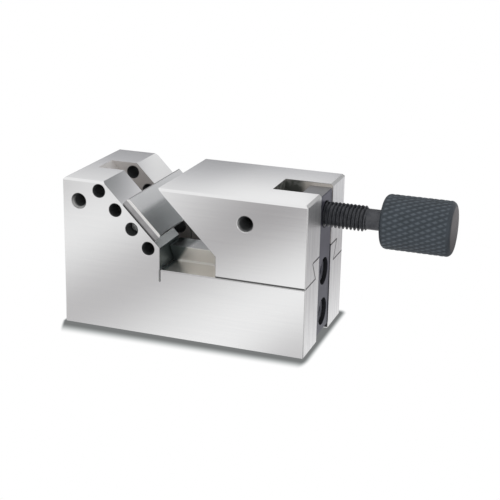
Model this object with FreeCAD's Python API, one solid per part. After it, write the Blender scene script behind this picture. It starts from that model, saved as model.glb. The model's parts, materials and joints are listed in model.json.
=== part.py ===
import FreeCAD, Part
import math
import os

from FreeCAD import Vector

# A small ground-steel tool vise with two parallel 45 degree jaw faces.
# The base and the fixed jaw are one block. The moving jaw rides on a dovetail rail,
# drawn by a screw that turns in a bracket bolted into the base's end notch.
# The screw's plain nose runs in the moving jaw, held by two dog-point keeper screws.
# A support plate lies on the fixed jaw's slope. Its tongue sits in a channel, and a
# locating pin through one of four cross holes holds it there.
# Origin: centre of the base's bottom face. +X runs along the screw to the knob,
# +Z is up, and the front side is -Y. All sizes are in millimetres.

# Block
length = 100.0
width = 50.0
height = 60.0
ledge_height = 27.5      # level of the two ledges that the moving jaw slides on
jaw_angle = 45.0         # slope of both jaw faces

# Fixed jaw
fixed_top = 17.4         # flat top, from the left end to the slope
slope_run = 23.8         # horizontal reach of the slope, down to the upright face
channel_width = 12.0
channel_depth = 8.0      # measured square to the slope
relief_depth = 5.0       # relief slit below the ledges, and floor of the channel
relief_width = 0.9
dowel_first = 1.5        # first cross hole, measured down the slope from its top edge
dowel_last = 2.9         # last cross hole, measured up the slope from its lower edge
dowel_inset = 4.0        # cross holes, square below the slope
dowel_count = 4
plate_hole = 2           # which cross hole carries the support plate, from 0
side_hole_in = 6.9       # tapped side hole, from the left end
side_hole_drop = 8.9     # and below the top
side_hole_depth = 14.0

# Dovetail rail
rail_height = 7.5
neck_width = 23.4
dovetail_angle = 60.0
slot_wall = 4.0          # steel left between the slot and the bracket's tapped holes

# Moving jaw
opening = 22.7           # between the two sloping faces, measured along X
upright_gap = 23.0       # between the two upright faces
pocket_depth = 19.4
pocket_width = 16.0

# Bracket
bracket_inset = 0.3      # its outer face, behind the block's end face
bracket_thickness = 8.7
bracket_drop = 1.5       # its top, below the block's top
bracket_lift = 2.0       # its bottom, above the block's bottom
bolt_low = 10.2          # lower bolt, above the bottom
bolt_pitch = 16.8

# Screw and knob
screw_drop = 9.8         # screw axis, below the block's top
thread_outside = 16.6    # thread left outside the bracket
shank_length = 6.2
nose_length = 12.8
keeper_in = 4.8          # keeper screws, from the pocket's end wall
groove_radius = 2.6
knob_radius = 10.5
knob_length = 26.7
knob_round = 2.2
knob_bore_depth = 18.0

# Support plate and locating pin
plate_length = 19.0
plate_thickness = 3.7
plate_bevel = 0.5
tongue_length = 12.0
pin_length = 40.0

# Threads, as plain cylinders at their outer radius, and standard screw sizes
m10_radius = 5.0
m10_core = 4.0           # nose and shank, about the thread's root
m6_radius = 3.0
m6_dog_radius = 2.0
m6_dog_length = 3.0
m6_length = 12.0
m6_hex = 3.0             # across flats
m6_hex_depth = 3.0
bolt_length = 16.0
bolt_head_radius = 5.0
bolt_head_height = 4.0   # low head
bolt_hex = 4.0
bolt_hex_depth = 2.2
bolt_hole_radius = 3.3
counterbore_radius = 5.5
counterbore_sink = 1.5   # the head's face, below the bracket's face
drill_past = 1.0         # blind holes run on this far past their screw
dowel_radius = 2.5

# Clearances and edge breaks
slide_clearance = 0.05   # under the moving jaw and at the dovetail flanks
roof_clearance = 0.3     # over the rail
side_clearance = 0.1     # each side of the bracket
running = 0.03           # radial, for screws, pins and the tongue
nose_clearance = 0.05
tongue_clearance = 0.3   # under the tongue
top_bevel = 0.9
edge_break = 0.35
parting_break = 0.2
mouth_break = 0.3
screw_break = 0.5
past = 1.0               # how far a cutting shape runs past the face it cuts

# Places that follow from the sizes above
left, right = -length / 2, length / 2
front, rear = -width / 2, width / 2
slope = math.radians(jaw_angle)
slope_length = slope_run / math.cos(slope)
slope_x = left + fixed_top
face_x = slope_x + slope_run
knee_z = height - slope_run * math.tan(slope)
relief_z = ledge_height - relief_depth
rail_top = ledge_height + rail_height
jaw_bottom = ledge_height + slide_clearance
tip_x = slope_x + opening
foot_x = face_x + upright_gap
jaw_knee_z = height - (foot_x - tip_x) * math.tan(slope)
pocket_x = right - pocket_depth
bracket_face = right - bracket_inset
bracket_back = bracket_face - bracket_thickness
head_seat = bracket_face - counterbore_sink - bolt_head_height
bolt_tip = head_seat - bolt_length
slot_end = bolt_tip - drill_past - slot_wall
axis_z = height - screw_drop
keeper_x = pocket_x - keeper_in
thread_end = bracket_face + thread_outside
knob_x = thread_end + shank_length
bolt_heights = (bolt_low, bolt_low + bolt_pitch)
dowel_pitch = (slope_length - dowel_first - dowel_last) / (dowel_count - 1)
plate_middle = dowel_first + plate_hole * dowel_pitch


def polygon(points):
    return Part.Face(Part.makePolygon([*points, points[0]]))


def prism_y(profile, y0, y1):
    """Solid with an (x, z) outline, from y0 to y1."""
    return polygon([Vector(x, y0, z) for x, z in profile]).extrude(Vector(0, y1 - y0, 0))


def prism_x(profile, x0, x1):
    """Solid with a (y, z) outline, from x0 to x1."""
    return polygon([Vector(x0, y, z) for y, z in profile]).extrude(Vector(x1 - x0, 0, 0))


def prism_z(profile, z0, z1):
    """Solid with an (x, y) outline, from z0 to z1."""
    return polygon([Vector(x, y, z0) for x, y in profile]).extrude(Vector(0, 0, z1 - z0))


def box(x0, x1, y0, y1, z0, z1):
    return Part.makeBox(x1 - x0, y1 - y0, z1 - z0, Vector(x0, y0, z0))


def rod(radius, start, end):
    """Round bar between two points."""
    along = Vector(*end) - Vector(*start)
    return Part.makeCylinder(radius, along.Length, Vector(*start), along)


def cone(radius0, radius1, start, end):
    along = Vector(*end) - Vector(*start)
    return Part.makeCone(radius0, radius1, along.Length, Vector(*start), along)


def turned(profile, y, z):
    """Solid turned about an axis along X at (y, z), from (x, radius) points."""
    wire = [Vector(x, y, z + radius) for x, radius in profile]
    return polygon(wire).revolve(Vector(0, y, z), Vector(1, 0, 0), 360)


def hexagon(across_flats, u, v):
    """Corners of a hexagon about (u, v)."""
    corner = across_flats / math.sqrt(3)
    turns = [math.radians(60 * i) for i in range(6)]
    return [(u + corner * math.sin(t), v + corner * math.cos(t)) for t in turns]


def edges_where(solid, test):
    """Edges of a solid whose two ends both pass the test."""
    return [e for e in solid.Edges if all(test(v.Point) for v in e.Vertexes)]


def near(a, b):
    return abs(a - b) < 0.001


def on_slope(down, out):
    """(x, z) of a point a distance down the fixed jaw's slope and square out from it."""
    x = slope_x + down * math.cos(slope) + out * math.sin(slope)
    z = height - down * math.sin(slope) + out * math.cos(slope)
    return x, z


def slope_block(down0, down1, out0, out1, half_width):
    """Block square to the slope, centred on the vise."""
    corners = [(down0, out0), (down1, out0), (down1, out1), (down0, out1)]
    return prism_y([on_slope(d, n) for d, n in corners], -half_width, half_width)


def envelope(x0, x1, z0, z1, bottom_break):
    """Outer limits of a block: bevelled top edges and broken upright corners."""
    half, a, b, c = width / 2, top_bevel, bottom_break, edge_break
    section = [(-half + b, z0), (half - b, z0), (half, z0 + b), (half, z1 - a),
               (half - a, z1), (-half + a, z1), (-half, z1 - a), (-half, z0 + b)]
    plan = [(x0 + c, -half), (x1 - c, -half), (x1, -half + c), (x1, half - c),
            (x1 - c, half), (x0 + c, half), (x0, half - c), (x0, -half + c)]
    return prism_x(section, x0, x1).common(prism_z(plan, z0, z1))


def dovetail(z0, z1, spread):
    """(y, z) outline of the dovetail between two levels, its flanks moved out by spread."""
    flank = math.tan(math.radians(90 - dovetail_angle))
    grow = spread / math.sin(math.radians(dovetail_angle))
    low = neck_width / 2 + (z0 - ledge_height) * flank + grow
    high = neck_width / 2 + (z1 - ledge_height) * flank + grow
    return [(-low, z0), (low, z0), (high, z1), (-high, z1)]


def side_hole(radius, x, z, side, depth):
    """Hole from the front (side -1) or the rear (side 1), with a broken mouth."""
    wall = side * width / 2
    hole = rod(radius, (x, wall + side * past, z), (x, wall - side * depth, z))
    mouth = cone(radius + mouth_break + past, radius, (x, wall + side * past, z),
                 (x, wall - side * mouth_break, z))
    return hole.fuse(mouth)


def base_outline():
    """(x, z) outline of the base and the fixed jaw without the rail."""
    return [(left + edge_break, 0), (right - edge_break, 0), (right, edge_break), (right, ledge_height),
            (face_x, ledge_height), (face_x, knee_z), (slope_x, height), (left + top_bevel, height),
            (left, height - top_bevel), (left, edge_break)]


def channel():
    """Channel in the slope, running on as a round-ended slot in the rail."""
    half = channel_width / 2
    top = height + past
    floor_x, floor_z = on_slope(0, -channel_depth)
    start = floor_x + (floor_z - top) / math.tan(slope)
    foot = floor_x + (floor_z - relief_z) / math.tan(slope)
    profile = [(start, top), (foot, relief_z), (foot + past, relief_z), (foot + past, top)]
    slot = box(foot, slot_end - half, -half, half, relief_z, rail_top + past)
    round_end = rod(half, (slot_end - half, 0, relief_z), (slot_end - half, 0, rail_top + past))
    return prism_y(profile, -half, half).fuse([slot, round_end])


def relief():
    """Slit at the foot of the fixed jaw's face, and its upper part through the rail's end."""
    half = relief_width / 2
    below = box(face_x - half, face_x + half, front - past, rear + past, relief_z, ledge_height)
    through_rail = box(face_x, face_x + half, front - past, rear + past, ledge_height - past, rail_top + past)
    return below.fuse(through_rail)


def dowel_holes():
    """Cross holes through both walls of the channel, in a row below the slope."""
    places = [on_slope(dowel_first + i * dowel_pitch, -dowel_inset) for i in range(dowel_count)]
    return [side_hole(dowel_radius + running, x, z, side, width / 2) for x, z in places for side in (-1, 1)]


def base():
    block = prism_y(base_outline(), front - past, rear + past)
    block = block.common(envelope(left, right, 0, height, edge_break))
    parting = [e for y in (front, rear) for e in
               edges_where(block, lambda p: near(p.z, ledge_height) and near(p.y, y))]
    block = block.makeChamfer(parting_break, parting)
    block = block.fuse(prism_x(dovetail(ledge_height, rail_top, 0), face_x, right))
    notch = box(bracket_back, right + past, -pocket_width / 2, pocket_width / 2, -past, rail_top + past)
    cuts = [channel(), relief(), notch, *dowel_holes()]
    for z in bolt_heights:
        cuts.append(rod(m6_radius, (bracket_back + past, 0, z), (bolt_tip - drill_past, 0, z)))
    for side in (-1, 1):
        cuts.append(side_hole(m6_radius, left + side_hole_in, height - side_hole_drop, side, side_hole_depth))
    return block.cut(cuts).removeSplitter()


def moving_jaw():
    blunt = edge_break
    outline = [(foot_x, jaw_bottom), (right, jaw_bottom), (right, height - top_bevel),
               (right - top_bevel, height), (tip_x + blunt, height),
               (tip_x + blunt, height - blunt * math.tan(slope)), (foot_x, jaw_knee_z)]
    block = prism_y(outline, front - past, rear + past)
    block = block.common(envelope(tip_x - past, right, jaw_bottom, height, parting_break))
    socket = prism_x(dovetail(jaw_bottom - past, rail_top + roof_clearance, slide_clearance),
                     foot_x - past, right + past)
    pocket = box(pocket_x, right + past, -pocket_width / 2, pocket_width / 2, ledge_height, height + past)
    nose_bore = rod(m10_core + nose_clearance, (pocket_x + past, 0, axis_z),
                    (pocket_x - nose_length - drill_past, 0, axis_z))
    cuts = [socket, pocket, nose_bore]
    for side in (-1, 1):
        cuts.append(side_hole(m6_radius, keeper_x, axis_z, side, width / 2))
    return block.cut(cuts).removeSplitter()


def screw_bracket():
    half = pocket_width / 2 - side_clearance
    plate = box(bracket_back, bracket_face, -half, half, bracket_lift, height - bracket_drop)
    plate = plate.makeChamfer(edge_break, edges_where(plate, lambda p: near(p.x, bracket_face)))
    cuts = [rod(m10_radius + running, (bracket_back - past, 0, axis_z), (bracket_face + past, 0, axis_z)),
            cone(m10_radius + screw_break, m10_radius, (bracket_face, 0, axis_z),
                 (bracket_face - screw_break, 0, axis_z))]
    for z in bolt_heights:
        cuts.append(rod(bolt_hole_radius, (bracket_back - past, 0, z), (bracket_face + past, 0, z)))
        cuts.append(rod(counterbore_radius, (head_seat, 0, z), (bracket_face + past, 0, z)))
    return plate.cut(cuts)


def bracket_screw(z):
    """Low socket head cap screw in the bracket's counterbore, pointing along -X."""
    head_face = head_seat + bolt_head_height
    profile = [(bolt_tip, 0), (bolt_tip, m6_radius - screw_break),
               (bolt_tip + screw_break, m6_radius - running), (head_seat, m6_radius - running),
               (head_seat, bolt_head_radius), (head_face - edge_break, bolt_head_radius),
               (head_face, bolt_head_radius - edge_break), (head_face, 0)]
    socket = prism_x(hexagon(bolt_hex, 0, z), head_face - bolt_hex_depth, head_face + past)
    return turned(profile, 0, z).cut(socket)


def clamp_screw():
    nose_tip = pocket_x - nose_length
    groove = m6_dog_radius + nose_clearance
    shoulder = pocket_x + nose_clearance
    profile = [(nose_tip, 0), (nose_tip, m10_core - screw_break), (nose_tip + screw_break, m10_core),
               (keeper_x - groove, m10_core), (keeper_x - groove, groove_radius),
               (keeper_x + groove, groove_radius), (keeper_x + groove, m10_core),
               (shoulder, m10_core), (shoulder, m10_radius - screw_break),
               (shoulder + screw_break, m10_radius),
               (thread_end - (m10_radius - m10_core), m10_radius), (thread_end, m10_core),
               (knob_x + knob_bore_depth, m10_core), (knob_x + knob_bore_depth, 0)]
    return turned(profile, 0, axis_z)


def knob():
    grip = rod(knob_radius, (knob_x, 0, axis_z), (knob_x + knob_length, 0, axis_z))
    grip = grip.makeFillet(knob_round, [e for e in grip.Edges if near(e.BoundBox.XMin, e.BoundBox.XMax)])
    bore = rod(m10_core, (knob_x - past, 0, axis_z), (knob_x + knob_bore_depth, 0, axis_z))
    return grip.cut(bore)


def keeper_screw(side):
    """Dog-point set screw in the moving jaw, its dog in the screw's groove."""
    from_axis = groove_radius + nose_clearance
    outside = from_axis + m6_length
    distances = (from_axis, from_axis + m6_dog_length, outside - screw_break, outside)
    tip, seat, rim, end = [(keeper_x, side * distance, axis_z) for distance in distances]
    dog = rod(m6_dog_radius, tip, seat)
    thread = rod(m6_radius - running, seat, rim)
    taper = cone(m6_radius - running, m6_radius - screw_break, rim, end)
    hexes = hexagon(m6_hex, keeper_x, axis_z)
    socket = prism_y(hexes, side * (outside - m6_hex_depth), side * (outside + past))
    return dog.fuse([thread, taper]).cut(socket).removeSplitter()


def support_plate():
    """Plate on the slope with a tongue in the channel, cross-drilled for the pin."""
    half = plate_length / 2
    plate = slope_block(plate_middle - half, plate_middle + half, 0, plate_thickness, width / 2)
    plate = plate.makeChamfer(plate_bevel, [e for e in plate.Edges if e.Length > plate_thickness + past])
    tongue = slope_block(plate_middle - tongue_length / 2, plate_middle + tongue_length / 2,
                         -channel_depth + tongue_clearance, plate_bevel, channel_width / 2 - running)
    x, z = on_slope(plate_middle, -dowel_inset)
    hole = rod(dowel_radius + running, (x, front, z), (x, rear, z))
    return plate.fuse(tongue).removeSplitter().cut(hole)


def locating_pin():
    x, z = on_slope(plate_middle, -dowel_inset)
    half = pin_length / 2
    pin = rod(dowel_radius, (x, -half, z), (x, half, z))
    return pin.makeChamfer(screw_break, [e for e in pin.Edges if near(e.BoundBox.YMin, e.BoundBox.YMax)])


def build():
    return {
        "base": base(),
        "moving_jaw": moving_jaw(),
        "screw_bracket": screw_bracket(),
        "bracket_screw_lower": bracket_screw(bolt_heights[0]),
        "bracket_screw_upper": bracket_screw(bolt_heights[1]),
        "clamp_screw": clamp_screw(),
        "knob": knob(),
        "keeper_screw_front": keeper_screw(-1),
        "keeper_screw_rear": keeper_screw(1),
        "support_plate": support_plate(),
        "locating_pin": locating_pin(),
    }


os.makedirs("parts", exist_ok=True)
for name, shape in build().items():
    print(f"{name:22s} valid {shape.isValid()} solids {len(shape.Solids)} volume {shape.Volume:.1f}")
    shape.exportStep(f"parts/{name}.step")
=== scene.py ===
import json
import math

import bmesh
import bpy
import numpy as np
from mathutils import Matrix, Vector


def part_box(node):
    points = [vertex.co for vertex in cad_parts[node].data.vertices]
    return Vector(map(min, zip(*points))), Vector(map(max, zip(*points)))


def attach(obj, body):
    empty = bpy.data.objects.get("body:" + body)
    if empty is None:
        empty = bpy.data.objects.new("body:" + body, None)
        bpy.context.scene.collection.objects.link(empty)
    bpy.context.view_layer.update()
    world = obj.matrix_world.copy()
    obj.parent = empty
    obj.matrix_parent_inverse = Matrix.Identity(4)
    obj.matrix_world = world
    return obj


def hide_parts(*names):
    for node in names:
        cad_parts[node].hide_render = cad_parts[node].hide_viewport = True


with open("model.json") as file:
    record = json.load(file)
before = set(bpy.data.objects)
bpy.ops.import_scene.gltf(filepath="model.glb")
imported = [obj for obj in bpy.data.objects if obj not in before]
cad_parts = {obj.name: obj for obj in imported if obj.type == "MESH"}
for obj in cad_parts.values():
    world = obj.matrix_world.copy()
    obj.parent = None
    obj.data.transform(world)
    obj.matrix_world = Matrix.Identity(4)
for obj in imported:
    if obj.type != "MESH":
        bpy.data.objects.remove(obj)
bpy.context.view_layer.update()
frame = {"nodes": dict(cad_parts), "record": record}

MM = 0.001

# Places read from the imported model, in millimetres
BASE_LOW, BASE_HIGH = [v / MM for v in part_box("base")]
SCREW_LOW, SCREW_HIGH = [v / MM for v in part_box("clamp_screw")]
KNOB_LOW, KNOB_HIGH = [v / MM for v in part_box("knob")]
PIN_MIDDLE = sum((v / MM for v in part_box("locating_pin")), Vector()) / 2
KEEPER_MIDDLE = sum((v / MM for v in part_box("keeper_screw_front")), Vector()) / 2
BRACKET_LOW, BRACKET_HIGH = [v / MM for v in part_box("screw_bracket")]
PLATE_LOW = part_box("support_plate")[0] / MM
MOUNTS = {m["name"]: m for m in frame["record"]["mounts"]}
SIDE_HOLE = Vector(MOUNTS["side_hole_front"]["pos_m"]) / MM
SIDE_HOLE_RADIUS = MOUNTS["side_hole_front"]["dims"]["r_mm"]
DOWEL_PITCH = MOUNTS["dowel_holes_upper"]["dims"]["pcd_mm"]
DOWEL_RADIUS = MOUNTS["dowel_holes_upper"]["dims"]["hole_r_mm"]
AXIS_Z = (KNOB_LOW.z + KNOB_HIGH.z) / 2

# Faces of the base and the jaw. Each slope is the plane on which x + z has one value
SLOPE_SUM = 27.4
UPRIGHT_X = -8.8
KNEE_Z = 36.2
LEDGE_Z = 27.5
RAIL_TOP = 35.0
NECK_HALF = 11.7
DOVETAIL_LEAN = math.radians(30)
RAIL_TOP_HALF = NECK_HALF + (RAIL_TOP - LEDGE_Z) * math.tan(DOVETAIL_LEAN)
RELIEF_Z = 22.5
CHANNEL_HALF = 6.0
CHANNEL_SUM = 16.09
SLOT_END = 23.2
JAW_SLOPE_SUM = 50.1
JAW_FOOT_X = 14.2
JAW_KNEE_Z = 35.9
POCKET_X = 30.6
POCKET_HALF = 8.0
POCKET_FLOOR = 35.4
PARTING_WIDTH = 0.6
EDGE_BREAK = 0.35
PLATE_THICKNESS = 3.7
HOLE_COVER = 0.16
HOLE_SOFT = 0.08

# Clamping screw, threads in the side holes, and knob
THREAD_RADIUS = (SCREW_HIGH.z - SCREW_LOW.z) / 2
THREAD_PITCH = 1.5
ROOT_RADIUS = 4.08
SHANK_RADIUS = 4.0
NOSE_LENGTH = 12.8
NOSE_BREAK = 0.5
GROOVE_RADIUS = 2.6
GROOVE_HALF = 2.05
THREAD_START = SCREW_LOW.x + NOSE_LENGTH + 0.05
THREAD_END = KNOB_LOW.x - 6.2
SIDE_THREAD_PITCH = 1.0
SIDE_THREAD_START = 0.35
KNOB_RADIUS = (KNOB_HIGH.z - KNOB_LOW.z) / 2
KNOB_ROUND = 2.2
KNOB_BORE_DEPTH = 18.0
KNURL_COUNT = 31
KNURL_ANGLE = math.radians(27)
KNURL_DEPTH = 0.36
KNURL_STEPS = 8
DIAMOND = 2 * math.pi * KNOB_RADIUS / KNURL_COUNT / math.tan(KNURL_ANGLE)

# Meshes: points closer than MERGE_DISTANCE are one, and sharper edges than SHARP_ANGLE stay sharp
MERGE_DISTANCE = 0.002
SHARP_ANGLE = math.radians(35)
SCREW_SIDES = 72
SIDE_THREAD_SIDES = 48

# The floor's contact shade: how far it reaches from the base's foot on each side, and how dark it gets
SHADE_FRONT = 8.6
SHADE_BEHIND = 4.0
SHADE_RIGHT = 2.6
SHADE_LEFT = 1.3
SHADE_DARKEST = 0.195

# The dark band on the floor in front that polished faces mirror. It runs away from the vise along -Y,
# bends to the left from BAND_BEND on, and grows wider and darker far away
BAND_X = -24.5
BAND_BEND = -169
BAND_LEAN = 0.21
BAND_WIDTH = 45.6

# The wall that polished faces mirror
WALL_Y = 150
WALL_HALF = 450
WALL_HEIGHT = 420

# Light from the world on the vise, and what polished faces mirror of it
WORLD_LIGHT = 0.62
WORLD_MIRRORED = 0.80
LAMP_TARGET = Vector((0, 0, 30))

# Camera: angles in degrees, lengths in millimetres
CAMERA_AZIMUTH = 19.51
CAMERA_ELEVATION = 16.91
CAMERA_ROLL = 1.16
CAMERA_DISTANCE = 461.9
CAMERA_TARGET = Vector((18.81, 0, 47.97))
CAMERA_LENS = 84.84
CAMERA_SHIFT = -0.08


class Number:
    """A number that varies over a surface. Sums, products and powers of it add Math nodes."""

    def __init__(self, nodes, socket):
        self.nodes = nodes
        self.socket = socket

    def math(self, operation, *terms):
        values = dict(enumerate(terms))
        made = self.nodes.add("ShaderNodeMath", {"operation": operation}, values)
        return Number(self.nodes, made.outputs[0])

    def __add__(self, other):
        return self.math("ADD", self, other)

    def __sub__(self, other):
        return self.math("SUBTRACT", self, other)

    def __rsub__(self, other):
        return self.math("SUBTRACT", other, self)

    def __mul__(self, other):
        return self.math("MULTIPLY", self, other)

    def __truediv__(self, other):
        return self.math("DIVIDE", self, other)

    def __pow__(self, other):
        return self.math("POWER", self, other)

    __radd__ = __add__
    __rmul__ = __mul__

    def size(self):
        return self.math("ABSOLUTE", self)

    def at_most(self, other):
        return self.math("MINIMUM", self, other)

    def at_least(self, other):
        return self.math("MAXIMUM", self, other)

    def rise(self, start, end):
        """0 below start, 1 above end, and a smooth step between them. A falling step has end
        below start."""
        settings = {"interpolation_type": "SMOOTHSTEP"}
        made = self.nodes.add("ShaderNodeMapRange", settings, {0: self, 1: start, 2: end})
        return Number(self.nodes, made.outputs[0])

    def within(self, low, high, soft=0.06):
        """1 from low to high and 0 outside them, with soft edges outside."""
        return self.rise(low - soft, low) * self.rise(high + soft, high)

    def near(self, place, reach=0.05):
        """1 on a face at a place and as far as reach on both sides of it."""
        return self.within(place - reach, place + reach)

    def bell(self, middle, spread):
        """1 at the middle and falling off on both sides as exp(-(distance / spread) squared)."""
        distance = (self - middle) / spread
        return self.math("EXPONENT", distance * distance * -1)


class Nodes:
    """A shader's nodes. Every node but a Math node comes from add."""

    def __init__(self, tree):
        self.tree = tree
        tree.nodes.clear()

    def add(self, kind, settings=None, values=None):
        made = self.tree.nodes.new(kind)
        for key, value in (settings or {}).items():
            setattr(made, key, value)
        for key, value in (values or {}).items():
            if isinstance(value, Number):
                value = value.socket
            if isinstance(value, bpy.types.NodeSocket):
                self.tree.links.new(value, made.inputs[key])
            else:
                made.inputs[key].default_value = value
        return made

    def number(self, socket):
        return Number(self, socket)

    def split(self, vector):
        parts = self.add("ShaderNodeSeparateXYZ", values={0: vector})
        return [Number(self, socket) for socket in parts.outputs]

    def place(self):
        """Object coordinates, in millimetres."""
        coordinates = self.add("ShaderNodeTexCoord").outputs["Object"]
        values = {0: coordinates, "Scale": 1 / MM}
        return self.add("ShaderNodeVectorMath", {"operation": "SCALE"}, values).outputs[0]

    def facing(self):
        """How far the surface faces along X, Y and Z, without sign."""
        normal = self.add("ShaderNodeNewGeometry").outputs["Normal"]
        return [part.size() for part in self.split(normal)]

    def noise(self, place, stretch, detail=2.0, roughness=0.5):
        """Noise from 0 to 1 whose waves have the stretch's lengths, in millimetres along each axis."""
        scale = [1 / length for length in stretch]
        stretched = self.add("ShaderNodeVectorMath", {"operation": "MULTIPLY"}, {0: place, 1: scale})
        values = {"Vector": stretched.outputs[0], "Scale": 1.0, "Detail": detail, "Roughness": roughness}
        return Number(self, self.add("ShaderNodeTexNoise", values=values).outputs[0])

    def blend(self, share, first, second):
        """Colour that goes from the first to the second as share goes from 0 to 1."""
        values = {"Factor": share, 6: first, 7: second}
        return self.add("ShaderNodeMix", {"data_type": "RGBA"}, values).outputs[2]

    def bump(self, height, distance):
        values = {"Height": height, "Distance": distance * MM}
        return self.add("ShaderNodeBump", values=values).outputs[0]

    def surface(self, values):
        shader = self.add("ShaderNodeBsdfPrincipled", values=values)
        self.add("ShaderNodeOutputMaterial", values={"Surface": shader.outputs[0]})


def colour(red, green, blue):
    """Opaque colour."""
    return (red, green, blue, 1.0)


def finish(name):
    """A new material and its nodes, still empty."""
    material = bpy.data.materials.new(name)
    material.use_nodes = True
    return material, Nodes(material.node_tree)


def dress(piece, material):
    """The piece wears one material in every slot."""
    slots = piece.data.materials
    slots.clear()
    slots.append(material)
    piece.data.polygons.foreach_set("material_index", np.zeros(len(piece.data.polygons), np.int32))


def along_y_holes(x, z, holes):
    """1 inside any of the round holes along Y, given as (x, z, radius), and 0 elsewhere. It reaches a
    little past a hole's radius, to cover the corners of the hole's facets."""
    inside = x * 0
    for hole_x, hole_z, radius in holes:
        across = x - hole_x
        up = z - hole_z
        distance = (across * across + up * up) ** 0.5
        covered_radius = radius + HOLE_COVER
        inside = distance.rise(covered_radius + HOLE_SOFT, covered_radius) + inside
    return inside.at_most(1.0)


def painted_bore_shade(share):
    """Layer of painted shade inside a plain hole: a dark, dull colour."""
    return (share, colour(0.075, 0.079, 0.082), 0.55, 0.3)


def painted_light_to_shade(x, z, middle_x, middle_z):
    """Painted light and shade in a side hole: 0 low and left, where light is painted, and 1 high and right,
    where shade is painted.
    """
    above = (x - middle_x) * 0.4 + (z - middle_z) * 0.9
    return above.rise(-SIDE_HOLE_RADIUS, SIDE_HOLE_RADIUS * 0.4)


def grinding_lines(nodes, place, on_end):
    """Fine grinding lines: along X on the front and top faces, upright on the end faces. They are noise
    drawn out to 30 mm along one axis and under 1 mm along the others."""
    lengthwise = nodes.noise(place, (30.0, 0.35, 0.35), detail=3.0)
    upright = nodes.noise(place, (0.7, 0.7, 30.0), detail=2.0)
    return lengthwise * (1 - on_end) + upright * on_end


def covered(nodes, surface, layers):
    """Colour, roughness and metallic of a surface after each layer covers it by a share from 0 to 1."""
    tint, roughness, metallic = surface
    for share, layer_tint, layer_roughness, layer_metallic in layers:
        tint = nodes.blend(share, tint, layer_tint)
        roughness = roughness + (layer_roughness - roughness) * share
        metallic = metallic + (layer_metallic - metallic) * share
    return tint, roughness, metallic


def ground_steel(name, layers_of, holes, tapped):
    """Ground and lapped tool steel, with stronger lines and a duller shine on the end faces. layers_of
    gives the layers of its recesses and inner faces. Plain holes get painted shade, and the mouth of the
    tapped one has painted light low and left and painted shade high and right."""
    material, nodes = finish(name)
    place = nodes.place()
    x, y, z = nodes.split(place)
    on_end = nodes.facing()[0].rise(0.8, 0.95)
    lines = grinding_lines(nodes, place, on_end)
    handling = nodes.noise(place, (22.0, 22.0, 22.0), detail=4.0, roughness=0.6)
    fine = nodes.blend(lines.rise(0.2, 0.8), colour(0.80, 0.80, 0.805), colour(0.825, 0.825, 0.825))
    streaked = nodes.blend(lines.rise(0.3, 0.7), colour(0.79, 0.79, 0.80), colour(0.95, 0.95, 0.955))
    tint = nodes.blend(on_end, fine, streaked)
    roughness = 0.10 + lines * 0.03 + handling * 0.05 + on_end * 0.24
    bore = along_y_holes(x, z, holes)
    mouth = along_y_holes(x, z, [tapped])
    # Painted light and shade: the tapped hole's mouth is pale low and left and dark high and right.
    mouth_painted_shade = painted_light_to_shade(x, z, tapped[0], tapped[1])
    mouth_tint = nodes.blend(mouth_painted_shade, colour(0.58, 0.58, 0.58), colour(0.09, 0.095, 0.095))
    at_end = x.rise(BASE_HIGH.x - EDGE_BREAK + 0.01, BASE_HIGH.x - EDGE_BREAK + 0.05)
    at_side = y.size().rise(BASE_HIGH.y - EDGE_BREAK + 0.01, BASE_HIGH.y - EDGE_BREAK + 0.05)
    upright_edge = at_end * at_side
    layers = [
        *layers_of(nodes, x, y, z),
        (upright_edge, colour(0.50, 0.50, 0.50), 0.4, 0.9),
        painted_bore_shade(bore),
        (mouth, mouth_tint, 0.5, 0.5),
    ]
    tint, roughness, metallic = covered(nodes, (tint, roughness, 0.96 - on_end * 0.1), layers)
    nodes.surface({
        "Base Color": tint,
        "Metallic": metallic,
        "Roughness": roughness,
        "Normal": nodes.bump(lines, 0.0004),
    })
    return material


def dowel_holes():
    """(x, z, radius) of the four cross holes, at 45 degrees above and below the pin."""
    step = DOWEL_PITCH * math.sqrt(0.5)
    places = [(PIN_MIDDLE.x + i * step, PIN_MIDDLE.z - i * step) for i in (-2, -1, 0, 1)]
    return [(x, z, DOWEL_RADIUS) for x, z in places]


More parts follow.
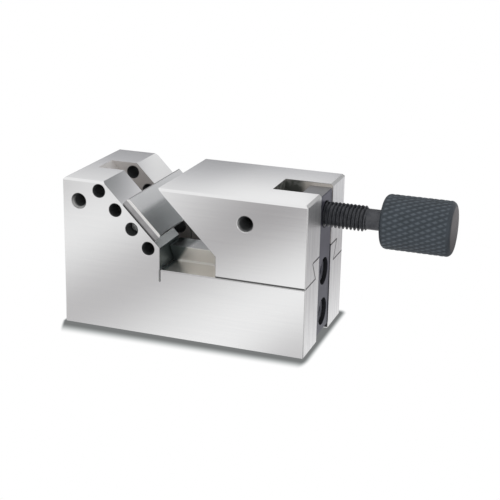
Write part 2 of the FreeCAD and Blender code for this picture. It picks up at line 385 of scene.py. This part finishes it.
def base_layers(nodes, x, y, z):
    """The slope's lower land and the upright face under it, the rail, the relief slit, the parting edge,
    the channel and slot, and the end notch. What runs along the block stops just short of its end
    face. The lower land and the upright face are painted dark as a reflection, and the notch has
    painted shade."""
    across = y.size()
    slope_sum = x + z
    upright = x.near(UPRIGHT_X) * z.within(LEDGE_Z + 0.1, KNEE_Z)
    low_land = slope_sum.near(SLOPE_SUM, 0.1) * z.within(KNEE_Z, PLATE_LOW.z + 0.5)
    slit = x.near(UPRIGHT_X, 0.5) * z.within(RELIEF_Z - 0.1, LEDGE_Z - 0.05) * across.rise(21, 22)
    along_ledge = x.within(UPRIGHT_X, BASE_HIGH.x - 0.3) * z.within(LEDGE_Z - 0.4, LEDGE_Z - 0.02)
    parting_edge = along_ledge * across.rise(BASE_HIGH.y - 0.3, BASE_HIGH.y - 0.24)
    in_slope = slope_sum.within(CHANNEL_SUM - 0.1, SLOPE_SUM - 0.12)
    in_rail = x.within(UPRIGHT_X + 2.4, SLOT_END - 0.3) * z.rise(RAIL_TOP - 0.05, RAIL_TOP - 0.12)
    between_walls = across.rise(CHANNEL_HALF + 0.08, CHANNEL_HALF)
    above_floor = between_walls * z.rise(RELIEF_Z - 0.15, RELIEF_Z - 0.05)
    channel = above_floor * (in_slope + in_rail).at_most(1.0)
    in_notch = x.within(BRACKET_LOW.x - 0.08, BASE_HIGH.x - 0.15) * z.rise(0.3, 0.4)
    notch = in_notch * across.rise(POCKET_HALF + 0.08, POCKET_HALF)
    return [
        # Painted reflection: the upright face and the slope's lower land are tinted dark for the dark
        # surroundings they mirror.
        (upright, colour(0.23, 0.27, 0.275), 0.3, 0.85),
        (low_land, colour(0.22, 0.245, 0.245), 0.2, 0.95),
        *rail_layers(nodes, x, across, z),
        (slit, colour(0.85, 0.85, 0.85), 0.5, 0.2),
        (parting_edge, colour(0.55, 0.55, 0.55), 0.3, 0.9),
        (channel, colour(0.66, 0.635, 0.62), 0.38, 0.55),
        # Painted shade: the end notch under the bracket is near black.
        (notch, colour(0.05, 0.05, 0.055), 0.4, 0.7),
    ]


def rail_layers(nodes, x, across, z):
    """The rail's top, dark next to the upright face with oil and painted shade, and its flanks and the
    ledges beside them, with painted highlights along their edges. A flank has painted shade next to the
    upright face, up to a leaning line."""
    along = x.within(UPRIGHT_X + 0.12, BASE_HIGH.x - 0.2)
    beside_neck = along * across.rise(NECK_HALF - 0.15, NECK_HALF - 0.05)
    flank = beside_neck * z.within(LEDGE_Z - 0.06, RAIL_TOP - 0.05)
    at_top = across.rise(RAIL_TOP_HALF - 0.73, RAIL_TOP_HALF - 0.33)
    top_edge = z.within(RAIL_TOP - 0.4, RAIL_TOP - 0.06) * at_top
    neck_edge = z.within(LEDGE_Z - 0.06, LEDGE_Z + 0.7) * across.rise(NECK_HALF + 1.2, NECK_HALF + 1.1)
    # Painted shade on a flank next to the upright face, up to a leaning line.
    shaded = (x - (z - LEDGE_Z) * 0.75).rise(-5.4, -7.6)
    # Painted highlight: a white, matt line along the flanks' top and neck edges, outside the painted shade.
    painted_corner_highlight = beside_neck * (top_edge + neck_edge).at_most(1.0) * (1 - shaded)
    rail_top = along * z.within(RAIL_TOP - 0.03, RAIL_TOP + 0.05)
    # Oil and painted shade: the rail's top is near black next to the upright face and grey further on.
    oil_and_painted_shade = nodes.blend(x.rise(-1.8, 0.8), colour(0.07, 0.085, 0.085), colour(0.50, 0.505, 0.505))
    return [
        (rail_top, oil_and_painted_shade, 0.16, 0.9),
        (flank, colour(0.82, 0.80, 0.765), 0.3, 0.85),
        (flank * shaded, colour(0.15, 0.175, 0.175), 0.35, 0.7),
        (painted_corner_highlight, colour(1.0, 0.985, 0.96), 0.5, 0.0),
    ]


def parting_line(across, z):
    """1 within the parting line's width of where the jaw meets the base: over the ledges, along the
    dovetail's flanks and over the rail."""
    socket = (z - LEDGE_Z) * math.tan(DOVETAIL_LEAN) + NECK_HALF
    from_flank = ((across - socket) * math.cos(DOVETAIL_LEAN)).size()
    flanks = from_flank.rise(PARTING_WIDTH + 0.1, PARTING_WIDTH) * z.rise(RAIL_TOP + 0.4, RAIL_TOP)
    over_rail = (z - RAIL_TOP - 0.1).size().rise(PARTING_WIDTH, PARTING_WIDTH - 0.1)
    roof = over_rail * across.rise(RAIL_TOP_HALF + 0.37, RAIL_TOP_HALF + 0.17)
    over_ledge = (z - LEDGE_Z).rise(PARTING_WIDTH + 0.1, PARTING_WIDTH)
    ledges = over_ledge * across.rise(NECK_HALF - 0.2, NECK_HALF)
    return (flanks + roof + ledges).at_most(1.0)


def jaw_layers(nodes, x, y, z):
    """The jaw's worn upper end edge, its sloping face and foot with painted reflection, the pocket that
    holds the bracket with painted shade and its far wall with painted reflection, and the dark parting line
    where the jaw meets the base, which is dirt and painted shade."""
    across = y.size()
    slope_sum = x + z
    end_bevel = slope_sum.rise(108.95, 109.1)
    slope = slope_sum.near(JAW_SLOPE_SUM, 0.1) * z.rise(JAW_KNEE_Z - 0.2, JAW_KNEE_Z)
    foot = x.near(JAW_FOOT_X, 0.1) * z.rise(JAW_KNEE_Z + 0.3, JAW_KNEE_Z - 0.1)
    in_pocket = x.within(POCKET_X - 0.06, BASE_HIGH.x - 0.15) * across.rise(POCKET_HALF + 0.08, POCKET_HALF)
    pocket = in_pocket * z.within(POCKET_FLOOR - 0.06, BASE_HIGH.z - 0.2)
    far_wall = pocket * y.rise(POCKET_HALF - 0.12, POCKET_HALF - 0.04) * x.rise(36.5, 39.5)
    # Painted shade in the pocket, mottled by noise.
    pocket_shade_mottle = nodes.noise(nodes.place(), (2.5, 2.5, 2.5), detail=3.0).rise(0.4, 0.65)
    mottled_pocket_shade = nodes.blend(pocket_shade_mottle, colour(0.13, 0.135, 0.125), colour(0.34, 0.34, 0.32))
    return [
        (end_bevel, colour(0.60, 0.60, 0.60), 0.4, 0.45),
        # Painted reflection: the sloping face and the foot are darker tints of the jaw's steel, for the
        # darker surroundings they mirror.
        (slope, colour(0.38, 0.40, 0.40), 0.2, 0.95),
        (foot, colour(0.40, 0.40, 0.39), 0.14, 0.95),
        (pocket, mottled_pocket_shade, 0.4, 0.4),
        # Painted reflection: the pocket's far wall is pale beige right of a line, and keeps the pocket's
        # painted shade left of it.
        (far_wall, colour(0.80, 0.75, 0.69), 0.4, 0.3),
        # Dirt and painted shade: a dark line where the jaw meets the base.
        (parting_line(across, z), colour(0.12, 0.12, 0.12), 0.4, 0.8),
    ]


def plate_side_layers(nodes, place, height):
    """The plate's side bevels, from a height above the slope: a streaked grey darker than the top as
    painted shade, with a painted shadow where the plate meets the slope, a painted highlight along its
    upper edge and painted shade across its upper end."""
    streaks = nodes.noise(place, (9.0, 0.4, 9.0), detail=3.0).rise(0.3, 0.7)
    side = nodes.facing()[1].rise(0.5, 0.65)
    painted_end_shade = nodes.facing()[2].rise(0.9, 0.98)
    painted_seam_shadow = side * height.rise(1.2, 0.4)
    painted_top_highlight = side * height.rise(PLATE_THICKNESS - 0.95, PLATE_THICKNESS - 0.8)
    streaked = nodes.blend(streaks, colour(0.31, 0.305, 0.31), colour(0.43, 0.425, 0.43))
    # Painted shade on the sides, a painted shadow in the seam, a painted highlight on the upper edge.
    return [
        (side, streaked, 0.25, 0.9),
        (painted_seam_shadow, colour(0.13, 0.13, 0.13), 0.5, 0.6),
        (painted_top_highlight, colour(0.90, 0.89, 0.88), 0.35, 0.6),
        (painted_end_shade, colour(0.40, 0.40, 0.405), 0.5, 0.7),
    ]


def plate_steel(name, hole):
    """Ground plate with a fainter, softer shine than the body."""
    material, nodes = finish(name)
    place = nodes.place()
    x, y, z = nodes.split(place)
    lines = nodes.noise(place, (0.5, 24.0, 0.5), detail=3.0)
    tint = nodes.blend(lines.rise(0.2, 0.8), colour(0.75, 0.755, 0.76), colour(0.795, 0.80, 0.805))
    height = (x + z - SLOPE_SUM) * math.sqrt(0.5)
    layers = plate_side_layers(nodes, place, height)
    layers.append(painted_bore_shade(along_y_holes(x, z, [hole])))
    tint, roughness, metallic = covered(nodes, (tint, 0.23 + lines * 0.05, 0.95), layers)
    nodes.surface({
        "Base Color": tint,
        "Metallic": metallic,
        "Roughness": roughness,
        "Normal": nodes.bump(lines, 0.0006),
    })
    return material


def blued_steel(name):
    """Milled bracket with a thin dark blue-grey oxide, darker lower down and in its counterbores as painted
    shade, and paler on top as painted light.
    """
    material, nodes = finish(name)
    place = nodes.place()
    x, y, z = nodes.split(place)
    lines = nodes.noise(place, (0.5, 0.4, 18.0), detail=3.0)
    clouds = nodes.noise(place, (9.0, 9.0, 9.0), detail=3.0)
    tone = (lines * 0.5 + clouds * 0.5).rise(0.25, 0.75)
    upper = nodes.blend(tone, colour(0.10, 0.10, 0.135), colour(0.15, 0.15, 0.195))
    lower = nodes.blend(tone, colour(0.062, 0.065, 0.09), colour(0.088, 0.09, 0.122))
    # Painted shade: darker towards the bottom.
    tint = nodes.blend(z.rise(8, 38), lower, upper)
    counterbore_shade = x.rise(BRACKET_HIGH.x - 0.1, BRACKET_HIGH.x - 0.3) * y.size().rise(6.5, 6.4)
    paler_top_light = z.rise(BRACKET_HIGH.z - 0.08, BRACKET_HIGH.z - 0.03)
    layers = [
        # Painted shade in the counterbores and painted light on the top face.
        (counterbore_shade, colour(0.03, 0.032, 0.036), 0.5, 0.6),
        (paler_top_light, colour(0.26, 0.26, 0.27), 0.45, 0.6),
    ]
    tint, roughness, metallic = covered(nodes, (tint, 0.34 + lines * 0.12, 0.75), layers)
    nodes.surface({
        "Base Color": tint,
        "Metallic": metallic,
        "Roughness": roughness,
        "Normal": nodes.bump(lines, 0.004),
    })
    return material


def black_oxide(name, thin, thick):
    """Blackened screw steel, its oxide between a thin colour and a thick one in small clouds."""
    material, nodes = finish(name)
    place = nodes.place()
    clouds = nodes.noise(place, (3.0, 3.0, 3.0), detail=4.0, roughness=0.6)
    pits = nodes.noise(place, (0.25, 0.25, 0.25), detail=2.0)
    nodes.surface({
        "Base Color": nodes.blend(clouds.rise(0.3, 0.75), thick, thin),
        "Metallic": 0.5,
        "Roughness": 0.33 + clouds * 0.14,
        "Normal": nodes.bump(pits, 0.006),
    })
    return material


def knob_oxide(name):
    """Slate-blue oxide on the knurl, worn a little brighter on its points, and plainer on the end face."""
    material, nodes = finish(name)
    place = nodes.place()
    x, y, z = nodes.split(place)
    above = z - AXIS_Z
    radius = (y * y + above * above) ** 0.5
    points = radius.rise(KNOB_RADIUS - 0.22, KNOB_RADIUS)
    clouds = nodes.noise(place, (5.0, 5.0, 5.0), detail=4.0, roughness=0.6)
    pits = nodes.noise(place, (0.3, 0.3, 0.3), detail=2.0)
    valley = nodes.blend(clouds.rise(0.3, 0.7), colour(0.040, 0.050, 0.060), colour(0.054, 0.066, 0.080))
    knurl = nodes.blend(points * (0.3 + clouds * 0.6), valley, colour(0.145, 0.172, 0.20))
    on_end = x.rise(KNOB_HIGH.x - 0.06, KNOB_HIGH.x - 0.01)
    nodes.surface({
        "Base Color": nodes.blend(on_end, knurl, colour(0.062, 0.052, 0.055)),
        "Metallic": 0.45,
        "Roughness": 0.42 + clouds * 0.12 - on_end * 0.1,
        "Normal": nodes.bump(pits, 0.008),
    })
    return material


def dowel_steel(name):
    """Hardened ground pin."""
    material, nodes = finish(name)
    place = nodes.place()
    lines = nodes.noise(place, (0.3, 12.0, 0.3), detail=3.0)
    tint = nodes.blend(lines.rise(0.2, 0.8), colour(0.74, 0.77, 0.76), colour(0.85, 0.87, 0.86))
    nodes.surface({
        "Base Color": tint,
        "Metallic": 0.8,
        "Roughness": 0.34 + lines * 0.08,
        "Normal": nodes.bump(lines, 0.001),
    })
    return material


def tapped_steel(name, middle_x, middle_z, bright_depth):
    """Thread in a side hole: painted light low at its mouth, and oil and painted shade deeper and higher
    up.
    """
    material, nodes = finish(name)
    place = nodes.place()
    x, y, z = nodes.split(place)
    depth = BASE_HIGH.y - y.size()
    smears = nodes.noise(place, (1.2, 1.2, 1.2), detail=3.0)
    # Darker with depth: oil and painted shade.
    deep = (depth + smears * 0.8).rise(bright_depth * 0.2, bright_depth + 0.4)
    oil_and_painted_shade = deep.at_least(painted_light_to_shade(x, z, middle_x, middle_z))
    nodes.surface({
        "Base Color": nodes.blend(oil_and_painted_shade, colour(0.56, 0.56, 0.555), colour(0.045, 0.047, 0.049)),
        "Metallic": 0.6,
        "Roughness": 0.48 + smears * 0.1,
        "Normal": nodes.bump(smears, 0.003),
    })
    return material


def mesh_piece(name, points):
    """Piece from a grid of points in millimetres, (rows, columns, 3), its columns closed into a ring."""
    rows, columns = points.shape[:2]
    row = np.arange(rows - 1)[:, None]
    column = np.arange(columns)[None, :]
    following = (column + 1) % columns
    corners = [row * columns + column, (row + 1) * columns + column,
               (row + 1) * columns + following, row * columns + following]
    faces = np.stack(corners, axis=-1).reshape(-1, 4)
    mesh = bpy.data.meshes.new(name)
    mesh.from_pydata((points.reshape(-1, 3) * MM).tolist(), [], faces.tolist())
    return close_mesh(name, mesh)


def close_mesh(name, mesh):
    """Merges points that meet, turns faces outwards and keeps sharp edges sharp."""
    work = bmesh.new()
    work.from_mesh(mesh)
    bmesh.ops.remove_doubles(work, verts=work.verts, dist=MERGE_DISTANCE * MM)
    bmesh.ops.dissolve_degenerate(work, edges=work.edges, dist=MERGE_DISTANCE * MM)
    bmesh.ops.recalc_face_normals(work, faces=work.faces)
    work.to_mesh(mesh)
    work.free()
    mesh.polygons.foreach_set("use_smooth", np.ones(len(mesh.polygons), bool))
    mesh.set_sharp_from_angle(angle=SHARP_ANGLE)
    piece = bpy.data.objects.new(name, mesh)
    bpy.context.scene.collection.objects.link(piece)
    return piece


def around_axis(x, radius, angle):
    """Points at a distance along the screw's axis, a radius and an angle about it."""
    x, radius, angle = np.broadcast_arrays(x, radius, angle)
    return np.stack([x, radius * np.sin(angle), AXIS_Z + radius * np.cos(angle)], axis=-1)


def metric_profile(phase, crest, root):
    """Radius of a 60 degree thread, whose flat crest is an eighth of the pitch wide and its flat root a
    quarter."""
    corners = [0.0, 0.125, 0.4375, 0.6875, 1.0]
    return np.interp(phase % 1.0, corners, [crest, crest, root, root, crest])


def screw_points():
    """The screw as rows of rings. In the threaded part a ring climbs one pitch in a turn, so its points
    follow the thread, and the rows before and after it are plain rings of the nose and the shank."""
    angle = np.linspace(0.0, 2 * np.pi, SCREW_SIDES + 1)[None, :]
    groove_start = KEEPER_MIDDLE.x - GROOVE_HALF
    groove_end = KEEPER_MIDDLE.x + GROOVE_HALF
    nose = [(SCREW_LOW.x, 0.0), (SCREW_LOW.x, SHANK_RADIUS - NOSE_BREAK),
            (SCREW_LOW.x + NOSE_BREAK, SHANK_RADIUS), (groove_start, SHANK_RADIUS),
            (groove_start, GROOVE_RADIUS), (groove_end, GROOVE_RADIUS), (groove_end, SHANK_RADIUS)]
    shank = [(SCREW_HIGH.x, SHANK_RADIUS), (SCREW_HIGH.x, 0.0)]
    turns = math.ceil((THREAD_END - THREAD_START) / THREAD_PITCH) + 1
    steps = np.array([0.0, 0.06, 0.125, 0.28, 0.4375, 0.5625, 0.6875, 0.84])
    climb = (np.arange(-1, turns)[:, None] + steps[None, :]).reshape(-1, 1)
    along = THREAD_START + (climb + angle / (2 * np.pi)) * THREAD_PITCH
    x = np.clip(along, THREAD_START, THREAD_END)
    radius = metric_profile(climb, THREAD_RADIUS, ROOT_RADIUS)
    radius = np.minimum(radius, SHANK_RADIUS + (x - THREAD_START))
    radius = np.minimum(radius, SHANK_RADIUS + (THREAD_END - x))
    rows = [around_axis(*pair, angle) for pair in nose]
    rows.append(around_axis(x, radius, angle))
    rows.extend(around_axis(*pair, angle) for pair in shank)
    points = np.concatenate([row.reshape(-1, angle.size, 3) for row in rows])
    return points[:, :-1]


def knurl_height(around, along):
    """Diamond points between two sets of crossing V grooves: 1 on a point's flat top, falling straight to
    0 in a deep groove or to 0.35 in one of the shallower set. around and along are counted in diamonds,
    and the distance from a groove goes from 0 in it to 1 half way to the next one."""
    from_shallow = 1 - 2 * np.abs((around + along) % 1.0 - 0.5)
    from_deep = 1 - 2 * np.abs((around - along) % 1.0 - 0.5)
    return np.minimum(1.0, np.minimum(1.3 * from_deep, 0.35 + 0.9 * from_shallow))


def knob_outline():
    """The turned knob as (x, radius) rows: its bore, left face, rounding, grip, rounding and end face.
    The grip has one row for each step of the knurl, whose diamonds are DIAMOND long."""
    left, right = KNOB_LOW.x, KNOB_HIGH.x
    turn = np.linspace(0, np.pi / 2, 9)
    inset = KNOB_ROUND * (1 - np.sin(turn))
    rounded = KNOB_RADIUS - KNOB_ROUND * (1 - np.cos(turn))
    bore = [(left + KNOB_BORE_DEPTH, 0.0), (left + KNOB_BORE_DEPTH, SHANK_RADIUS), (left, SHANK_RADIUS)]
    left_face = [(left, 6.5)]
    end_face = [(right, 6.0), (right, 3.0), (right, 0.0)]
    grip_x = np.arange(left + KNOB_ROUND, right - KNOB_ROUND, DIAMOND / KNURL_STEPS)
    grip = np.stack([grip_x, np.full(grip_x.size, KNOB_RADIUS)], axis=1)
    first_round = np.stack([left + inset, rounded], axis=1)[::-1]
    last_round = np.stack([right - inset, rounded], axis=1)
    return np.concatenate([bore, left_face, first_round, grip[1:], last_round, end_face])


def knob_points():
    """The knob as rows of rings. A ring's radius is the turned outline's, or the knurl's where that lies
    lower."""
    around = np.arange(KNURL_COUNT * KNURL_STEPS)[None, :] / KNURL_STEPS
    outline = knob_outline()
    x, turned = outline[:, :1], outline[:, 1:]
    height = knurl_height(around, (x - KNOB_LOW.x) / DIAMOND)
    cut = KNOB_RADIUS - KNURL_DEPTH * (1 - height)
    return around_axis(x, np.minimum(turned, cut), around * 2 * np.pi / KNURL_COUNT)


def tapped_thread(name, middle_x, middle_z, side, depth):
    """Thread inside a side hole: a thin shell whose inner radius follows the thread and whose outer
    radius is the hole's. Its rings climb one pitch in a turn, from SIDE_THREAD_START under the face to
    a depth."""
    angle = np.linspace(0.0, 2 * np.pi, SIDE_THREAD_SIDES + 1)[None, :]
    start = SIDE_THREAD_START
    turns = math.ceil((depth - start) / SIDE_THREAD_PITCH) + 1
    steps = np.array([0.0, 0.125, 0.4375, 0.6875])
    climb = (np.arange(-1, turns)[:, None] + steps[None, :]).reshape(-1, 1)
    inward = np.clip(start + (climb + angle / (2 * np.pi)) * SIDE_THREAD_PITCH, start, depth)
    crest = SIDE_HOLE_RADIUS - 0.54 * SIDE_THREAD_PITCH
    root = SIDE_HOLE_RADIUS - 0.03
    wall = np.full_like(angle, SIDE_HOLE_RADIUS - 0.01)
    inner = np.maximum(metric_profile(climb, crest, root), root - (inward - start))
    rows = [(inward, inner), (np.full_like(angle, depth), wall),
            (np.full_like(angle, start), wall), (inward[:1], inner[:1])]
    inward, radius = [np.concatenate(column) for column in zip(*rows)]
    points = np.stack([middle_x + radius * np.cos(angle), side * (BASE_HIGH.y - inward),
                       middle_z + radius * np.sin(angle)], axis=-1)
    return mesh_piece(name, points)


def soft_light(name, place, size, strength):
    """Square lamp of a size and a radiance, aimed at the vise."""
    lamp = bpy.data.lights.new(name, "AREA")
    lamp.shape = "SQUARE"
    lamp.size = size * MM
    lamp.energy = strength * math.pi * lamp.size ** 2
    piece = bpy.data.objects.new(name, lamp)
    piece.location = Vector(place) * MM
    piece.rotation_euler = (LAMP_TARGET - Vector(place)).to_track_quat("-Z", "Y").to_euler()
    bpy.context.scene.collection.objects.link(piece)


def flat_piece(name, corners):
    """Piece of the stage with four corners."""
    mesh = bpy.data.meshes.new(name)
    mesh.from_pydata([Vector(corner) * MM for corner in corners], [], [(0, 1, 2, 3)])
    piece = bpy.data.objects.new(name, mesh)
    bpy.context.scene.collection.objects.link(piece)
    return piece


def patch(x, y, middle, spread):
    """Round soft patch on a plane: 1 at its middle."""
    return x.bell(middle[0], spread[0]) * y.bell(middle[1], spread[1])


def contact_shade(x, y):
    """What the camera sees of the floor: dark next to the base's foot and white away from it. The shade
    is a smooth step of the distance from the foot, which counts for less in front, where the shade is
    wide. In front it grows narrower to the right, and its left end slants to the right."""
    past_front = (BASE_LOW.y - y).at_least(0.0)
    left_end = past_front * 0.35 + BASE_LOW.x
    in_front = past_front / (SHADE_FRONT - x * 0.018)
    behind = (y - BASE_HIGH.y).at_least(0.0) / SHADE_BEHIND
    on_right = (x - BASE_HIGH.x).at_least(0.0) / SHADE_RIGHT
    on_left = (left_end - x).at_least(0.0) / SHADE_LEFT
    distance = (in_front ** 2 + behind ** 2 + on_right ** 2 + on_left ** 2) ** 0.5
    return SHADE_DARKEST + distance.rise(0.28, 1.24) * (1 - SHADE_DARKEST)


def mirrored_floor(x, y):
    """What polished faces mirror of the floor: in front a soft dark band that bends away to the left,
    with a dark patch near right and far left. On the right the floor darkens away from the vise."""
    from_band = x - BAND_X + (y - BAND_BEND).at_least(0.0) * BAND_LEAN
    band_width = BAND_WIDTH + y.rise(-150, -210) * 11.6
    band_depth = 0.49 + y.rise(-60, -210) * 0.2
    band = from_band.bell(0, band_width) * y.rise(-10, -24) * band_depth
    near_right = patch(x, y, (46.7, -7), (19.4, 65.7)) * 0.436
    far_left = patch(x, y, (-200, -188), (68.6, 99)) * 0.674
    in_front = (1.12 - band - near_right - far_left).at_least(0.25)
    away_right = ((x - BASE_HIGH.x) * -0.0115 + 0.92).at_least(0.4)
    on_right = away_right - (y - 60).at_least(0.0) * 0.0018
    beside = x.rise(47, 52) * y.rise(-26, -14)
    return in_front + (on_right - in_front) * beside


def floor():
    """Pale floor. The camera sees it white round the vise's contact shade, and polished faces mirror the
    soft dark patches of a studio in it."""
    half = 2500
    piece = flat_piece("floor", [(-half, -half, 0), (half, -half, 0), (half, half, 0), (-half, half, 0)])
    material, nodes = finish("pale_floor")
    x, y, z = nodes.split(nodes.place())
    rays = nodes.add("ShaderNodeLightPath")
    glossy = nodes.number(rays.outputs["Is Glossy Ray"])
    through_glass = nodes.number(rays.outputs["Is Transmission Ray"])
    camera = nodes.number(rays.outputs["Is Camera Ray"]).at_least(through_glass)
    seen = contact_shade(x, y) * (1 - glossy) + mirrored_floor(x, y) * glossy
    shade_tint = nodes.blend(camera, colour(1.0, 0.977, 0.988), colour(0.965, 1.0, 1.0))
    tint = nodes.blend(seen.rise(0.45, 0.95), shade_tint, colour(1.0, 1.0, 1.0))
    glow = nodes.add("ShaderNodeEmission", values={"Color": tint, "Strength": seen})
    matt = nodes.add("ShaderNodeBsdfDiffuse", values={"Color": colour(0.82, 0.82, 0.82)})
    share = (camera + glossy).at_most(1.0)
    mixed = nodes.add("ShaderNodeMixShader", values={0: share, 1: matt.outputs[0], 2: glow.outputs[0]})
    nodes.add("ShaderNodeOutputMaterial", values={"Surface": mixed.outputs[0]})
    dress(piece, material)


def wall_tone(x, z):
    """The wall grows brighter upwards to a soft edge, above which it darkens again behind the left of
    the vise. On the right it goes dark along a slanting line, but not near the floor, and it is pale far
    up."""
    rightward = x + (z - 104) * 1.6
    brighter = rightward.rise(-58, -30) * 0.40 + rightward.rise(-30, 0) * 0.2 + 1
    climbing = ((z - 97).at_least(0.0) * 0.029 + 0.36) * brighter
    ceiling = 1.06 - x.rise(-6, 8) * 0.24 - z.rise(117, 146) * x.rise(39, 32) * 0.62
    level = climbing.at_most(ceiling)
    to_dark = (x - z * 0.685).rise(-56, -32) * z.rise(40, 80) * x.rise(110, 75)
    near_top = level + (0.10 - level) * to_dark
    low_right = x.rise(20, 60) * z.rise(70, 40)
    lower = near_top + (0.70 - near_top) * low_right
    return lower + (0.85 - lower) * z.rise(150, 330)


def strip_wall():
    """Wall behind the vise that only polished faces mirror."""
    corners = [(-WALL_HALF, WALL_Y, 0), (WALL_HALF, WALL_Y, 0),
               (WALL_HALF, WALL_Y, WALL_HEIGHT), (-WALL_HALF, WALL_Y, WALL_HEIGHT)]
    piece = flat_piece("strip_wall", corners)
    piece.visible_camera = False
    piece.visible_diffuse = False
    piece.visible_shadow = False
    piece.visible_transmission = False
    material, nodes = finish("graded_wall")
    x, y, z = nodes.split(nodes.place())
    tone = wall_tone(x, z)
    shade_tint = nodes.blend(tone.rise(0.15, 0.35), colour(0.93, 1.0, 1.01), colour(1.0, 1.0, 1.035))
    tint = nodes.blend(tone.rise(0.55, 0.85), shade_tint, colour(1.0, 1.0, 1.0))
    glow = nodes.add("ShaderNodeEmission", values={"Color": tint, "Strength": tone})
    nodes.add("ShaderNodeOutputMaterial", values={"Surface": glow.outputs[0]})
    dress(piece, material)


def studio():
    """White to the camera, an even grey light on the vise from all round, and four soft lamps."""
    world = bpy.data.worlds.new("studio")
    bpy.context.scene.world = world
    world.use_nodes = True
    nodes = Nodes(world.node_tree)
    rays = nodes.add("ShaderNodeLightPath")
    camera = nodes.number(rays.outputs["Is Camera Ray"])
    glossy = nodes.number(rays.outputs["Is Glossy Ray"])
    strength = WORLD_LIGHT + camera * (1 - WORLD_LIGHT) + glossy * (WORLD_MIRRORED - WORLD_LIGHT)
    white = {"Color": colour(1, 1, 1), "Strength": strength}
    background = nodes.add("ShaderNodeBackground", values=white)
    nodes.add("ShaderNodeOutputWorld", values={"Surface": background.outputs[0]})
    soft_light("overhead_light", (-120, -140, 720), 700, 0.2)
    soft_light("front_left_light", (-620, -620, 430), 420, 0.8)
    soft_light("right_light", (760, -260, 360), 360, 0.8)
    soft_light("rear_light", (200, 820, 520), 420, 0.7)


def place_camera():
    """The photograph's view: from the front and the right, a little above, with a long lens. The camera
    looks at its target from a distance, turned about its line of sight by the roll."""
    azimuth = math.radians(CAMERA_AZIMUTH)
    elevation = math.radians(CAMERA_ELEVATION)
    roll = math.radians(CAMERA_ROLL)
    back = Vector((math.sin(azimuth) * math.cos(elevation), -math.cos(azimuth) * math.cos(elevation),
                   math.sin(elevation)))
    level = Vector((math.cos(azimuth), math.sin(azimuth), 0))
    right = level * math.cos(roll) + back.cross(level) * math.sin(roll)
    turned = Matrix((right, back.cross(right), back)).transposed().to_4x4()
    camera = bpy.data.cameras.new("camera")
    camera.lens = CAMERA_LENS
    camera.sensor_width = 36.0
    camera.shift_y = CAMERA_SHIFT
    camera.clip_start = 0.01
    piece = bpy.data.objects.new("camera", camera)
    piece.matrix_world = Matrix.Translation((CAMERA_TARGET + back * CAMERA_DISTANCE) * MM) @ turned
    bpy.context.scene.collection.objects.link(piece)
    bpy.context.scene.camera = piece


def dress_cad_nodes():
    """Gives every CAD node that stays in sight its finish. The bracket's screw heads get a paler oxide than
    the keepers, as painted light."""
    side = (SIDE_HOLE.x, SIDE_HOLE.z, SIDE_HOLE_RADIUS)
    keeper = (KEEPER_MIDDLE.x, KEEPER_MIDDLE.z, SIDE_HOLE_RADIUS)
    # Painted light: the bracket's screw heads are paler than the keepers.
    heads_painted_light = black_oxide("black_oxide_screw_heads", colour(0.26, 0.265, 0.30), colour(0.17, 0.175, 0.205))
    keepers = black_oxide("black_oxide_keepers", colour(0.03, 0.03, 0.03), colour(0.014, 0.014, 0.015))
    finishes = {
        "base": ground_steel("ground_steel_base", base_layers, dowel_holes(), side),
        "moving_jaw": ground_steel("ground_steel_jaw", jaw_layers, [], keeper),
        "support_plate": plate_steel("ground_steel_plate", dowel_holes()[2]),
        "locating_pin": dowel_steel("dowel_steel_pin"),
        "screw_bracket": blued_steel("blued_steel_bracket"),
        "bracket_screw_lower": heads_painted_light,
        "bracket_screw_upper": heads_painted_light,
        "keeper_screw_front": keepers,
        "keeper_screw_rear": keepers,
    }
    for node, material in finishes.items():
        dress(frame["nodes"][node], material)


def build_screw():
    """The threaded screw takes the place of the plain one."""
    thin, thick = colour(0.105, 0.108, 0.118), colour(0.050, 0.053, 0.062)
    piece = mesh_piece("threaded_clamp_screw", screw_points())
    dress(piece, black_oxide("black_oxide_screw", thin, thick))
    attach(piece, "screw")
    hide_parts("clamp_screw")


def build_knob():
    """The knurled knob takes the place of the plain one."""
    piece = mesh_piece("knurled_knob", knob_points())
    dress(piece, knob_oxide("knob_oxide_knurl"))
    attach(piece, "screw")
    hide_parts("knob")


def build_tapped_threads():
    """Threads in both side holes of the base and of the jaw. Each row gives a thread's name, body, middle
    and depth, and how deep it stays pale before oil and painted shade darken it."""
    holes = [("side_thread", "base", SIDE_HOLE, 13.0, 2.6),
             ("keeper_thread", "jaw", KEEPER_MIDDLE, 10.0, 1.2)]
    for name, body, middle, depth, bright_depth in holes:
        thread_steel = tapped_steel(f"{name}_steel", middle.x, middle.z, bright_depth)
        for end, side in (("front", -1), ("rear", 1)):
            piece = tapped_thread(f"{name}_{end}", middle.x, middle.z, side, depth)
            dress(piece, thread_steel)
            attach(piece, body)


bpy.context.scene.view_settings.view_transform = "Standard"
place_camera()
studio()
floor()
strip_wall()
dress_cad_nodes()
build_screw()
build_knob()
build_tapped_threads()
